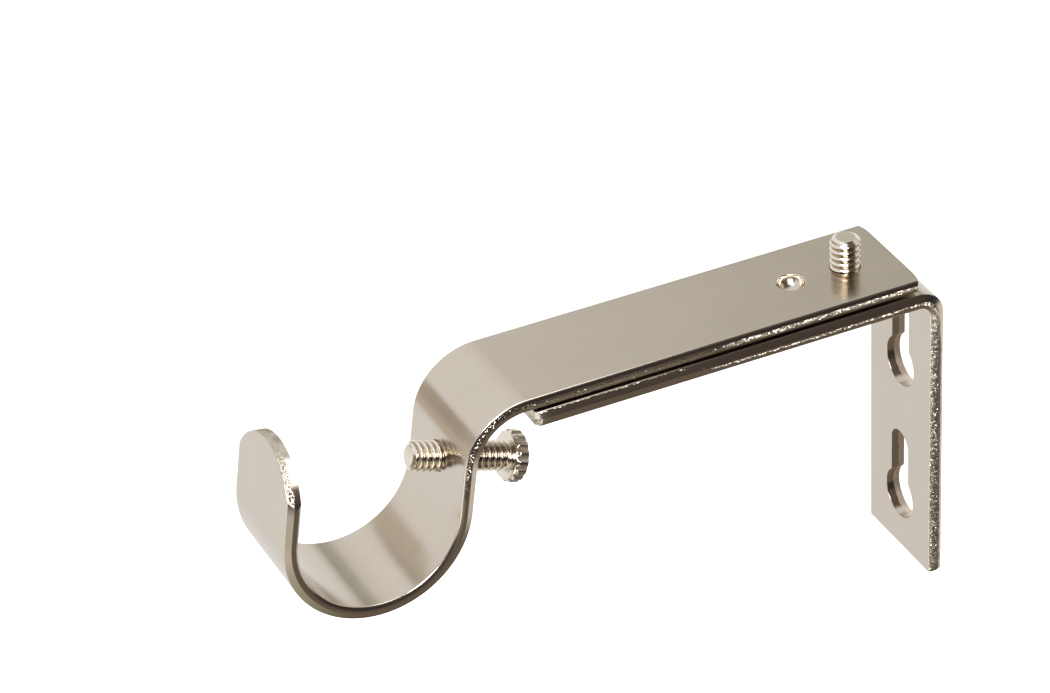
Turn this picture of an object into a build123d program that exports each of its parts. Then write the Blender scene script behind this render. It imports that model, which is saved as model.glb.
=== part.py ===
from build123d import *
from math import cos, radians, sin, sqrt
import os

# Adjustable wall bracket for a curtain pole: two plated steel strips and two thumb screws.
# The wall strip is folded to an L and hangs on two wall screws by its keyholes. The hook strip lies on the
# L's horizontal leg and slides along it, kept straight by a guide pip and by the adjusting screw, which both
# run in one long slot. The rod screw goes through the back of the hook and holds the pole in the cup.
# Frame: +X out from the wall, +Z up, origin on the wall face, midway between the keyholes' round ends.
# All sizes are in millimetres and degrees.

# Strip stock
strip_width = 19.0
plate_thickness = 2.5
arm_thickness = 2.25
edge_bevel = 0.3
edge_slant_inset = 0.55
edge_slant_depth = 1.1
plate_corner_trim = 0.9
rear_corner_r = 6.8
rear_corner_reach = 2.8

# Keyholes and upright leg of the wall strip
keyhole_pitch = 25.4
keyhole_head_d = 8.3
keyhole_neck_w = 5.2
keyhole_rise = 9.5
keyhole_edge_bevel = 0.4
leg_tail = 9.7
leg_headroom = 1.6
fold_inner_r = 1.8

# Slide between the two strips
slide_gap = 0.65
slide_clearance = 0.2
slide_travel = 38.0
slot_end_margin = 7.4
arm_rear_x = 4.2
adjusting_inset = 8.1
guide_spacing = 9.6
guide_pip_d = 4.8
guide_pip_drop = 1.9
guide_pip_bevel = 0.35
dimple_d = 4.4
dimple_depth = 1.6
dimple_floor_round = 1.2
dimple_rim_bevel = 0.25

# Hook of the arm
pole_d = 25.4
pole_clearance = 0.45
shoulder_setback = 1.35
shoulder_inner_r = 8.6
hook_lean = 8.6
back_length = 7.9
lip_length = 13.2
lip_corner_ease = 0.5
trim_allowance = 1.0

# Thumb screws
thread_d = 4.8
thread_clearance = 0.1
tip_chamfer = 0.7
tapped_chamfer = 0.3
countersink_slope = 45.0
head_d = 8.1
head_thickness = 2.1
head_bevel = 0.25
bearing_bevel = 0.45
head_clearance = 0.1
flute_count = 16
flute_r = 0.5
flute_depth = 0.35
adjusting_reach = 5.25
rod_hole_drop = 2.6
rod_screw_tilt = 10.0
rod_screw_length = 16.6
rod_screw_reach = 4.9

# Levels above the wall mount's centre
keyhole_top_z = keyhole_pitch / 2 + keyhole_rise + keyhole_neck_w / 2
plate_under_z = keyhole_top_z + leg_headroom + fold_inner_r
plate_top_z = plate_under_z + plate_thickness
arm_under_z = plate_top_z + slide_gap
arm_top_z = arm_under_z + arm_thickness
leg_bottom_z = -keyhole_pitch / 2 - leg_tail

# Stations out from the wall
adjusting_x = arm_rear_x + adjusting_inset
guide_x = adjusting_x + guide_spacing
slot_width = max(thread_d, guide_pip_d) + 2 * slide_clearance
slot_length = guide_spacing + slide_travel
plate_end_x = guide_x + slide_travel + slot_width / 2 + slot_end_margin
shoulder_x = plate_end_x + shoulder_setback

# Hook frame: origin at the cup's centre, local x out from the wall, local z up along the lip
cup_r = pole_d / 2 + pole_clearance
shoulder_outer_r = shoulder_inner_r + arm_thickness
hook_out = Vector(cos(radians(hook_lean)), 0, sin(radians(hook_lean)))
hook_up = Vector(-sin(radians(hook_lean)), 0, cos(radians(hook_lean)))
shoulder_centre = Vector(shoulder_x, 0, arm_top_z - shoulder_outer_r)
cup_centre = shoulder_centre + hook_out * (shoulder_outer_r + cup_r) - hook_up * back_length
lip_face = Plane(cup_centre + hook_out * cup_r, x_dir=(0, 1, 0), z_dir=hook_out)
lip_end_r = strip_width / 2 + lip_corner_ease

# Screw seats: the bearing face of each head, with z towards the tip
tapped_d = thread_d + 2 * thread_clearance
adjusting_seat = Plane((adjusting_x, 0, plate_under_z - head_clearance))
adjusting_length = arm_top_z + adjusting_reach - (plate_under_z - head_clearance)
rod_hole = cup_centre - hook_out * cup_r + hook_up * (back_length - rod_hole_drop)
rod_axis = hook_out * cos(radians(rod_screw_tilt)) + hook_up * sin(radians(rod_screw_tilt))
rod_seat_origin = rod_hole + rod_axis * (rod_screw_reach - rod_screw_length)
rod_seat = Plane(rod_seat_origin, x_dir=(0, 1, 0), z_dir=rod_axis)


def hook_strip_face(level, shoulder_radius, cup_radius):
    """Draws one face of the hook strip, from its rear end to the lip's uncut end, and returns its ends."""
    flat = Line((arm_rear_x, level), (shoulder_x, level))
    shoulder = JernArc(flat @ 1, flat % 1, shoulder_radius, hook_lean - 90)
    back = Line(shoulder @ 1, shoulder @ 1 + (shoulder % 1) * back_length)
    cup = JernArc(back @ 1, back % 1, cup_radius, 180)
    lip = Line(cup @ 1, cup @ 1 + (cup % 1) * (lip_length + trim_allowance))
    return flat @ 0, lip @ 1


def bevel_long_sides(strip, slanted_up):
    """Bevels a strip's long sides as slitting leaves them: light on one face, a long slant on the other."""
    for side in (0, -1):
        side_wall = strip.faces().sort_by(Axis.Y)[side]
        lower_edge, upper_edge = side_wall.edges().filter_by(Axis.X).sort_by(Axis.Z)[-2:]
        slant_edge, bevel_edge = (upper_edge, lower_edge) if slanted_up else (lower_edge, upper_edge)
        chamfer(slant_edge, edge_slant_depth, edge_slant_inset, reference=side_wall)
        chamfer(strip.edges().sort_by_distance(bevel_edge.center())[0], edge_bevel)


def rim_around(builder, centre):
    """The round edge of a hole, pip or tip that is nearest to its centre."""
    return builder.edges().filter_by(GeomType.LINE, reverse=True).sort_by_distance(centre)[0]


os.makedirs("parts", exist_ok=True)

# Wall strip
with BuildPart() as wall_bracket:
    with BuildSketch(Plane.XZ) as plate_profile:
        with BuildLine() as plate_outline:
            Polyline(
                (0, leg_bottom_z),
                (0, plate_top_z),
                (plate_end_x, plate_top_z),
                (plate_end_x, plate_under_z),
                (plate_thickness, plate_under_z),
                (plate_thickness, leg_bottom_z),
                close=True,
            )
        make_face()
        inner_corner = plate_profile.vertices().sort_by_distance((plate_thickness, plate_under_z))[0]
        fillet(inner_corner, fold_inner_r)
        outer_corner = plate_profile.vertices().sort_by_distance((0, plate_top_z))[0]
        fillet(outer_corner, fold_inner_r + plate_thickness)
    extrude(amount=strip_width / 2, both=True)
    bevel_long_sides(wall_bracket, slanted_up=True)
    # The plate's end is cut to length with its corners trimmed
    with BuildSketch(Plane.XY.offset(plate_under_z)) as corner_trim:
        with Locations((plate_end_x, strip_width / 2), (plate_end_x, -strip_width / 2)):
            Rectangle(plate_corner_trim * sqrt(2), plate_corner_trim * sqrt(2), rotation=45)
    extrude(amount=plate_thickness, mode=Mode.SUBTRACT)
    with BuildSketch(Plane.YZ) as keyholes:
        for round_end_z in (-keyhole_pitch / 2, keyhole_pitch / 2):
            with Locations((0, round_end_z)):
                Circle(keyhole_head_d / 2)
            with Locations((0, round_end_z + keyhole_rise / 2)):
                SlotCenterToCenter(keyhole_rise, keyhole_neck_w, rotation=90)
    extrude(amount=plate_thickness, mode=Mode.SUBTRACT)
    leg_front = wall_bracket.faces().filter_by(Axis.X).sort_by_distance((plate_thickness, 0, 0))[0]
    chamfer(leg_front.inner_wires().edges(), keyhole_edge_bevel)
    with BuildSketch(Plane.XY.offset(plate_under_z)) as slot:
        with Locations((adjusting_x + slot_length / 2, 0)):
            SlotCenterToCenter(slot_length, slot_width)
    extrude(amount=plate_thickness, mode=Mode.SUBTRACT)
wall_bracket.part.label = "wall_bracket"
export_step(wall_bracket.part, "parts/wall_bracket.step")

# Hook strip
with BuildPart() as hook_arm:
    with BuildSketch(Plane.XZ) as hook_profile:
        with BuildLine() as hook_outline:
            upper_rear, upper_tip = hook_strip_face(arm_top_z, shoulder_outer_r, cup_r)
            under_rear, under_tip = hook_strip_face(arm_under_z, shoulder_inner_r, cup_r + arm_thickness)
            Line(upper_rear, under_rear)
            Line(upper_tip, under_tip)
        make_face()
    extrude(amount=strip_width / 2, both=True)
    bevel_long_sides(hook_arm, slanted_up=False)
    # The rear end is cut with eased corners, and the lip's end is cut round
    with BuildSketch(Plane.XY.offset(arm_under_z)) as rear_trim:
        with Locations((arm_rear_x, 0)):
            Rectangle(rear_corner_r, strip_width, align=(Align.MIN, Align.CENTER))
            RectangleRounded(
                3 * rear_corner_r,
                strip_width + 2 * (rear_corner_r - rear_corner_reach),
                rear_corner_r,
                align=(Align.MIN, Align.CENTER),
                mode=Mode.SUBTRACT,
            )
    extrude(amount=arm_thickness, mode=Mode.SUBTRACT)
    with BuildSketch(lip_face) as lip_trim:
        with Locations((0, lip_length - lip_end_r)):
            Rectangle(2 * strip_width, lip_end_r + 2 * trim_allowance, align=(Align.CENTER, Align.MIN))
            Circle(lip_end_r, mode=Mode.SUBTRACT)
    extrude(amount=2 * arm_thickness, both=True, mode=Mode.SUBTRACT)
    # Guide pip, pushed down from a dimple in the top face
    with BuildSketch(Plane.XY.offset(arm_under_z)) as guide_pip:
        with Locations((guide_x, 0)):
            Circle(guide_pip_d / 2)
    extrude(amount=-guide_pip_drop)
    pip_end = Vector(guide_x, 0, arm_under_z - guide_pip_drop)
    chamfer(rim_around(hook_arm, pip_end), guide_pip_bevel)
    with BuildSketch(Plane.XY.offset(arm_top_z)) as dimple:
        with Locations((guide_x, 0)):
            Circle(dimple_d / 2)
    extrude(amount=-dimple_depth, mode=Mode.SUBTRACT)
    dimple_mouth = Vector(guide_x, 0, arm_top_z)
    dimple_floor = Vector(guide_x, 0, arm_top_z - dimple_depth)
    chamfer(rim_around(hook_arm, dimple_mouth), dimple_rim_bevel)
    fillet(rim_around(hook_arm, dimple_floor), dimple_floor_round)
    # Tapped holes, with a light countersink where the screw tips come out
    with BuildSketch(Plane.XY.offset(arm_top_z)) as adjusting_hole:
        with Locations((adjusting_x, 0)):
            Circle(tapped_d / 2)
    extrude(amount=-arm_thickness, mode=Mode.SUBTRACT)
    adjusting_mouth = Vector(adjusting_x, 0, arm_top_z)
    chamfer(rim_around(hook_arm, adjusting_mouth), tapped_chamfer)
    with BuildSketch(Plane(rod_hole, x_dir=(0, 1, 0), z_dir=rod_axis)) as rod_tapping:
        Circle(tapped_d / 2)
    extrude(amount=2 * arm_thickness, both=True, mode=Mode.SUBTRACT)
    with BuildSketch(Plane(rod_hole, x_dir=(0, 1, 0), z_dir=hook_out)) as rod_countersink:
        Circle(tapped_d / 2 + tapped_chamfer)
    extrude(amount=-2 * tapped_chamfer, taper=countersink_slope, mode=Mode.SUBTRACT)
hook_arm.part.label = "hook_arm"
export_step(hook_arm.part, "parts/hook_arm.step")

# Thumb screws, each with a fluted head behind its seat and a shank before it
thumb_screws = {
    "adjusting_screw": (adjusting_seat, adjusting_length),
    "rod_screw": (rod_seat, rod_screw_length),
}
for screw_name, (seat, shank_length) in thumb_screws.items():
    with BuildPart() as thumb_screw:
        with BuildSketch(seat) as head_disc:
            Circle(head_d / 2)
        extrude(amount=-head_thickness)
        head_end = seat.from_local_coords(Vector(0, 0, -head_thickness))
        chamfer(rim_around(thumb_screw, seat.origin), bearing_bevel)
        chamfer(rim_around(thumb_screw, head_end), head_bevel)
        with BuildSketch(seat) as flutes:
            with PolarLocations(head_d / 2 + flute_r - flute_depth, flute_count):
                Circle(flute_r)
        extrude(amount=-head_thickness, mode=Mode.SUBTRACT)
        with BuildSketch(seat) as shank:
            Circle(thread_d / 2)
        extrude(amount=shank_length)
        tip = seat.from_local_coords(Vector(0, 0, shank_length))
        chamfer(rim_around(thumb_screw, tip), tip_chamfer)
    thumb_screw.part.label = screw_name
    export_step(thumb_screw.part, f"parts/{screw_name}.step")
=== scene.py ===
import math

import bpy
import numpy as np
from mathutils import Matrix, Vector
from mathutils.geometry import delaunay_2d_cdt


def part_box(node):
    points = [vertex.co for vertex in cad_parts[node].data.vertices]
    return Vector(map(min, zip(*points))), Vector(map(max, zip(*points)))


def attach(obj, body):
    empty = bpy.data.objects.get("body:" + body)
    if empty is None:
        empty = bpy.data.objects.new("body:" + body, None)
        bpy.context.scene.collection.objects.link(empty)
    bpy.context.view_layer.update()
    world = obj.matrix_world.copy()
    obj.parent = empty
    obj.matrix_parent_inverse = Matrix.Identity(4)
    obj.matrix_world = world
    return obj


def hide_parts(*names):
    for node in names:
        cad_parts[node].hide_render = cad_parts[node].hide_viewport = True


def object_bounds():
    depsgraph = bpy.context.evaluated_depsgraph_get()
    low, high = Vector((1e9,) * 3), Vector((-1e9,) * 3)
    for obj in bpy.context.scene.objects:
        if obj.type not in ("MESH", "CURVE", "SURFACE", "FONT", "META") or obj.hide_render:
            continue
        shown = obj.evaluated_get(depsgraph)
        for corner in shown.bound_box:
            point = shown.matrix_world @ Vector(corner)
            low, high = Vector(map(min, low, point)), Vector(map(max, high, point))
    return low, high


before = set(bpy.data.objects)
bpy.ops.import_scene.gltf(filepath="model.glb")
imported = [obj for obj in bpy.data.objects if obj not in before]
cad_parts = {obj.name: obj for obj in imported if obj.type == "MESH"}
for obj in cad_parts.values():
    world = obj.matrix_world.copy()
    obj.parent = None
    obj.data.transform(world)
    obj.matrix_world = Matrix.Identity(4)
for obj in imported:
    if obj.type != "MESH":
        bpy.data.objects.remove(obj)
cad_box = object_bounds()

# An adjustable wall bracket for a curtain pole: a wall strip folded to an L, a hook strip that slides
# along it, and two thumb screws, all plated with nickel. Sizes are in millimetres and degrees. The camera,
# the floor, the softboxes and the finished meshes are in metres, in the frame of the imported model.
mm = 0.001

# Strip stock
plate_low, plate_high = (np.array(corner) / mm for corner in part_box("wall_bracket"))
arm_low = np.array(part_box("hook_arm")[0]) / mm
strip_width = plate_high[1] - plate_low[1]
plate_thickness = 2.5
arm_thickness = 2.25
edge_round_inset = 0.35
edge_round_depth = 1.0
edge_slant_inset = 0.5
edge_slant_depth = 1.1
cut_round = 0.12
cut_corner_r = 0.15
hole_round = 0.25
ridge_share = 0.96
shear_depth = 0.2
plate_corner_trim = 0.9
rear_corner_r = 6.8
rear_corner_reach = 2.8

# Wall strip
keyhole_pitch = 25.4
keyhole_head_r = 4.15
keyhole_neck_r = 2.6
keyhole_rise = 9.5
keyhole_corner_r = 0.5
keyhole_front_round = 0.12
fold_inner_r = 1.8
slot_r = 2.6
slot_start_x = 12.3
slot_end_x = 59.9

# Hook strip
arm_top_z = 33.6
shoulder_x = 71.25
shoulder_outer_r = 10.85
hook_lean = 8.6
back_length = 7.9
cup_r = 13.15
lip_length = 13.2
lip_end_r = 10.0
adjusting_inset = 8.1
guide_spacing = 9.6
tapped_r = 2.46
tapped_round = 0.15
dimple_r = 2.2
dimple_rim_round = 0.25
dimple_rim_sweep = 1.2  # in radians
dimple_depth = 1.9
pip_r = 2.4
pip_drop = 1.9
pip_round = 0.5
pip_round_sweep = 1.4  # in radians
pip_draft = 0.01

# Thumb screws
rod_hole_drop = 2.6
rod_tilt = 10.0
rod_length = 16.6
rod_reach = 4.9
head_r = 4.05
head_thickness = 2.1
head_round = 0.25
head_bevel = 0.45
head_bevel_curve = 1.4
thread_r = 2.4
thread_depth = 0.5
thread_pitch = 1.06
thread_run_out = 0.5
thread_crest_share = 0.07
thread_root_share = 0.44
tip_r = 1.55
tip_chamfer = 0.55
flute_count = 16
flute_r = 0.5
flute_depth = 0.35
head_clearance = 0.1

# Torn zone of the slit sides: place along the strip, top and foot of the zone about mid-thickness, and the
# lean of its facets. A lean below zero marks a punched wall.
wall_strip_tearing = (
    (44.0, 0.7, -1.3, 0.72),
    (54.0, -0.1, -0.38, 1.5),
    (88.0, -0.15, -0.4, 1.5),
    (91.0, -0.15, -0.4, 0.0),
    (93.0, 1.15, 1.02, 0.0),
    (95.0, 1.15, 1.02, 0.5),
)
hook_strip_tearing = (
    (34.0, 0.3, -0.45, 1.9),
    (35.0, 0.3, -0.45, 0.5),
    (38.0, 0.1, -1.1, 0.6),
    (64.0, 0.1, -1.1, 0.6),
    (70.0, 0.75, 0.0, 0.45),
    (82.0, 0.75, 0.0, 0.6),
    (88.0, 0.85, 0.3, 0.0),
)
cut_end_tearing = (0.05, -1.3, 0.55)
not_torn = (0.0, 0.0, 0.0)
punched = (0.0, 0.0, -1.0)

# Fineness of the meshes
bend_step = 0.35
flat_step = 3.0
column_count = 9
loop_step = 0.3
round_rows = 6
wall_rows = 6
corner_points = 4
end_points = 40
trim_points = 4
rear_end_points = (16, 30)
lip_end_points = (60, 0)
bowl_rows = 15
bevel_rows = 10
chamfer_reach = 0.95
turn_steps = 160
thread_step = 0.085
profile_ease = 0.06
within_outline = 1  # how a face is triangulated: nothing outside its outer border
tiny = 1e-6
rounding_error = 1e-9

# Rings of points on a thumb screw's flat faces, as shares of the radius
head_rings = (0.0, 0.5, 0.8)
bearing_ring = 0.75
tip_ring = 0.5

# Where the points along a strip's sides start and stop, clear of its ends
leg_side_clear = 0.5
trim_side_clear = 0.3
rear_side_clear = 1.0
lip_side_reach = 2.5

# Finishes: colours in linear light, pattern scales for metres, widths and levels in millimetres
satin_shades = ((0.585, 0.527, 0.452, 1.0), (0.615, 0.555, 0.480, 1.0))
bright_shades = ((0.74, 0.68, 0.59, 1.0), (0.80, 0.74, 0.65, 1.0))
glinting_tear_colour = (0.58, 0.525, 0.44, 1.0)
satin_tear_colour = (0.40, 0.37, 0.315, 1.0)
broken_wall_colour = (0.85, 0.73, 0.63, 1.0)
# Painted shade: a brown that darkens the thumb screws' thread roots, where shade falls between the crests
thread_root_shade_colour = (0.36, 0.29, 0.20, 1.0)
satin_roughness = 0.2
bright_roughness = 0.16
gloss_spread = 0.05
broken_wall_dulling = 0.25
flute_dulling = 0.25
glinting_tear_dulling = -0.06
satin_tear_dulling = 0.2
relief_depth = 0.02
grain_height = 0.25
grain_detail = 3.0
drift_detail = 2.0
shade_spread = (-0.5, 0.5)
drawn_out = (0.25, 1.0, 1.0)
wander_scale = 900.0
wander_detail = 3.0
wander_width = 0.5
zone_blur = 0.06
facet_scale = 8000.0
facet_middle = (0.27, 0.5, 0.14)
break_levels = (-0.05, 0.2)

# Where a mark on a mesh starts to show in its finish, and where it shows in full
wall_onset = (0.3, 0.8)
tear_onset = (0.0, 0.3)
satin_tear_onset = (0.62, 0.7)
glinting_tear_onset = (1.1, 1.4)
punched_onset = (-0.2, -0.8)
# Painted shade in the thread's roots sets in with the groove's depth
root_shade_onset = (0.25, 0.8)
flute_onset = (0.0, 0.5)

# Studio
camera_place = Vector((0.29723, 0.51041, 0.40324))
camera_azimuth = 155.72
camera_elevation = 33.23
camera_roll = -2.875
camera_lens = 153.57
camera_sensor = 36.0
camera_far = 20.0
floor_drop = 0.12
floor_span = 6.0
white = (1.0, 1.0, 1.0, 1.0)

# Surround: ramps over one part of the direction, each from its first value to its second, with the tones
# there where they aren't 0 and 1
sweep_tones = ((-0.48, -0.30, 0.35, 0.86), (-0.30, 0.06, 1.0, 1.163))
cup_band_tones = ((-0.445, -0.465, 0.0, 0.17), (-0.47, -0.51, 0.0, -0.25), (-0.515, -0.60, 0.0, 0.5))
belt_tones = ((0.20, 0.42), (0.58, 0.70, 1.0, 0.15))
low_grey_tone = (-0.46, -0.54, 0.0, 0.06)
sweep_grey = (0.148, 0.125, 0.0, 1.0)
sweep_turn = 0.35
sweep_edge = (-0.15, 0.12)
sweep_foot = (-0.7, -0.9, 0.0, 0.4)
table_edge = (-0.25, -0.55)
table_sides = (-0.2, 0.35)
table_shades = ((0.18, 0.15, 0.115, 1.0), (0.55, 0.51, 0.42, 1.0))
room_heights = (0.05, 0.4)
room_shades = ((0.04, 0.034, 0.036, 1.0), (0.13, 0.10, 0.075, 1.0))
# Glows in the room: direction, inner and outer angle, and colour
room_glows = (
    ((0.72, 0.50, -0.45), 14.0, 27.0, (1.6, 1.54, 1.44, 1.0)),
    ((-0.85, 0.24, -0.47), 10.0, 20.0, (1.0, 0.92, 0.87, 1.0)),
    ((-0.85, 0.15, 0.45), 14.0, 28.0, (1.0, 0.94, 0.86, 1.0)),
)


def heading_vectors(angles):
    """Unit vectors along each heading, and to the left of it."""
    along_it = np.stack([np.cos(angles), np.sin(angles)], axis=-1)
    left_of_it = np.stack([-np.sin(angles), np.cos(angles)], axis=-1)
    return along_it, left_of_it


def run_length(size, turn):
    """Length of a straight run (turn 0) or of an arc of that radius and turn in degrees."""
    return abs(math.radians(turn)) * size if turn else size


def along(start, heading, runs, stations):
    """Points and headings at stations along a chain of straight runs and arcs."""
    points = np.zeros((len(stations), 2))
    angles = np.zeros(len(stations))
    place = np.array(start, float)
    angle = math.radians(heading)
    begin = 0.0
    for size, turn in runs:
        length = run_length(size, turn)
        here = stations >= begin - rounding_error
        distance = np.append(stations[here] - begin, length)
        if turn:
            side = math.copysign(1.0, turn)
            bearing = angle + side * distance / size
            centre = place + side * size * heading_vectors(angle)[1]
            reached = centre - side * size * heading_vectors(bearing)[1]
        else:
            bearing = np.full(len(distance), angle)
            reached = place + distance[:, None] * heading_vectors(angle)[0]
        points[here] = reached[:-1]
        angles[here] = bearing[:-1]
        place = reached[-1]
        angle = bearing[-1]
        begin += length
    return points, angles


def traced(start, heading, runs, counts):
    """Points and left-hand normals along a chain of runs, with a count of points on each run."""
    ends = np.cumsum([0.0] + [run_length(*run) for run in runs])
    stations = np.concatenate([
        begin + (end - begin) * np.arange(count) / count
        for begin, end, count in zip(ends, ends[1:], counts)
    ])
    points, angles = along(start, heading, runs, stations)
    return points, heading_vectors(angles)[1]


def closed_loop(start, heading, runs):
    """Points and left-hand normals round a closed chain of runs; the metal lies on its left."""
    counts = [max(1, math.ceil(run_length(*run) / loop_step - tiny)) for run in runs]
    return traced(start, heading, runs, counts)


def round_hole(centre, radius):
    """A round hole, traced clockwise."""
    return closed_loop((centre, radius), 0.0, [(radius, -360.0)])


def slotted_hole(start, end, radius):
    """A slot with round ends, along the strip."""
    length = end - start
    runs = [(length, 0.0), (radius, -180.0), (length, 0.0), (radius, -180.0)]
    return closed_loop((start, radius), 0.0, runs)


def keyhole(centre):
    """A round end with a narrower neck further along the strip; the corners between them are eased."""
    reach = keyhole_head_r + keyhole_corner_r
    offset = keyhole_neck_r + keyhole_corner_r
    ease_at = math.sqrt(reach**2 - offset**2)
    ease_turn = math.degrees(math.asin(ease_at / reach))
    neck = keyhole_rise - ease_at
    runs = [
        (neck, 0.0),
        (keyhole_neck_r, -180.0),
        (neck, 0.0),
        (keyhole_corner_r, ease_turn),
        (keyhole_head_r, -180.0 - 2 * ease_turn),
        (keyhole_corner_r, ease_turn),
    ]
    return closed_loop((centre + ease_at, keyhole_neck_r), 0.0, runs)


def bend_stations(runs):
    """Stations along a strip, close together in its bends."""
    stations = [0.0]
    for size, turn in runs:
        length = run_length(size, turn)
        count = math.ceil(length / (bend_step if turn else flat_step))
        stations.extend(stations[-1] + length * np.arange(1, count + 1) / count)
    return np.array(stations)


def square_end(inset, cut_inset):
    """A square end: its points, measured from its end line, and its normals."""
    half = strip_width / 2 - inset
    corner = (cut_corner_r, 90.0)
    runs = [corner, (2 * (half - cut_corner_r), 0.0), corner]
    return traced((-cut_inset - cut_corner_r, -half), 0.0, runs, (corner_points, end_points, corner_points))


def trimmed_end(inset, cut_inset):
    """A square end with trimmed corners: its points, measured from its end line, and its normals."""
    half = strip_width / 2 - inset
    side_end = inset - plate_corner_trim - math.sqrt(2) * cut_inset
    cut_back = -cut_inset - side_end
    ease = cut_corner_r * math.tan(math.radians(45.0 / 2))
    corner = (cut_corner_r, 45.0)
    trim = (math.sqrt(2) * cut_back - 2 * ease, 0.0)
    across = (2 * (half - cut_back - ease), 0.0)
    runs = [corner, trim, corner, across, corner, trim, corner]
    trimmed = (corner_points, trim_points, corner_points)
    return traced((side_end - ease, -half), 0.0, runs, (*trimmed, end_points, *trimmed))


def arc_cut_end(radius, reach, counts, inset, cut_inset):
    """An end cut round by arcs from its sides: its points, measured from its end line, and its normals."""
    half = strip_width / 2 - inset
    arc_r = radius - cut_inset
    ease_y = reach - inset - cut_corner_r
    ease_s = math.sqrt((arc_r - cut_corner_r) ** 2 - ease_y**2)
    ease_turn = math.degrees(math.atan2(ease_s, ease_y))
    corner = (cut_corner_r, ease_turn)
    arc = (arc_r, 90.0 - ease_turn)
    runs = [corner, arc, (strip_width - 2 * reach, 0.0), arc, corner]
    arc_count, straight_count = counts
    counted = (corner_points, arc_count, straight_count, arc_count, corner_points)
    return traced((ease_s - radius, -half), 0.0, runs, counted)


def eased_end(inset, cut_inset):
    """The arm's rear end, square with eased corners."""
    return arc_cut_end(rear_corner_r, rear_corner_reach, rear_end_points, inset, cut_inset)


def lip_end(inset, cut_inset):
    """The lip's end, one arc from side to side."""
    return arc_cut_end(lip_end_r, strip_width / 2, lip_end_points, inset, cut_inset)


def strip_outline(sides, length, rear_end, far_end, inset, cut_inset):
    """The strip's outline, counter-clockwise, its normals, and a mark on the points of its cut ends."""
    half = strip_width / 2 - inset
    far_points, far_left = far_end(inset, cut_inset)
    rear_points, rear_left = rear_end(inset, cut_inset)
    near_side = np.stack([sides, np.full(len(sides), -half)], axis=-1)
    far_side = np.stack([sides[::-1], np.full(len(sides), half)], axis=-1)
    side_left = np.tile([0.0, 1.0], (len(sides), 1))
    points = np.concatenate([near_side, far_points + np.array([length, 0.0]), far_side, -rear_points])
    left = np.concatenate([side_left, far_left, -side_left, -rear_left])
    fresh = np.zeros(len(points))
    for first, cut in ((len(sides), far_points), (2 * len(sides) + len(far_points), rear_points)):
        fresh[first + corner_points:first + len(cut) - corner_points] = 1.0
    return points, left, fresh


def rounding(depth, inset, reach):
    """Inset of an elliptical rim at a depth below the face, and its normal's parts outward and upward."""
    upright = max(0.0, 1 - depth / reach)
    outward = math.sqrt(1 - upright**2)
    length = math.hypot(outward / inset, upright / reach)
    return inset * (1 - outward), outward / inset / length, upright / reach / length


def slanting(depth, inset, reach, corner):
    """Inset of a slanted rim with a round corner at a depth below the face, and its normal's parts."""
    corner_inset, outward, upward = rounding(depth, corner, corner)
    lean = upward + outward * inset / reach
    length = math.hypot(outward, lean)
    return inset * max(0.0, 1 - depth / reach) + corner_inset, outward / length, lean / length


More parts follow.
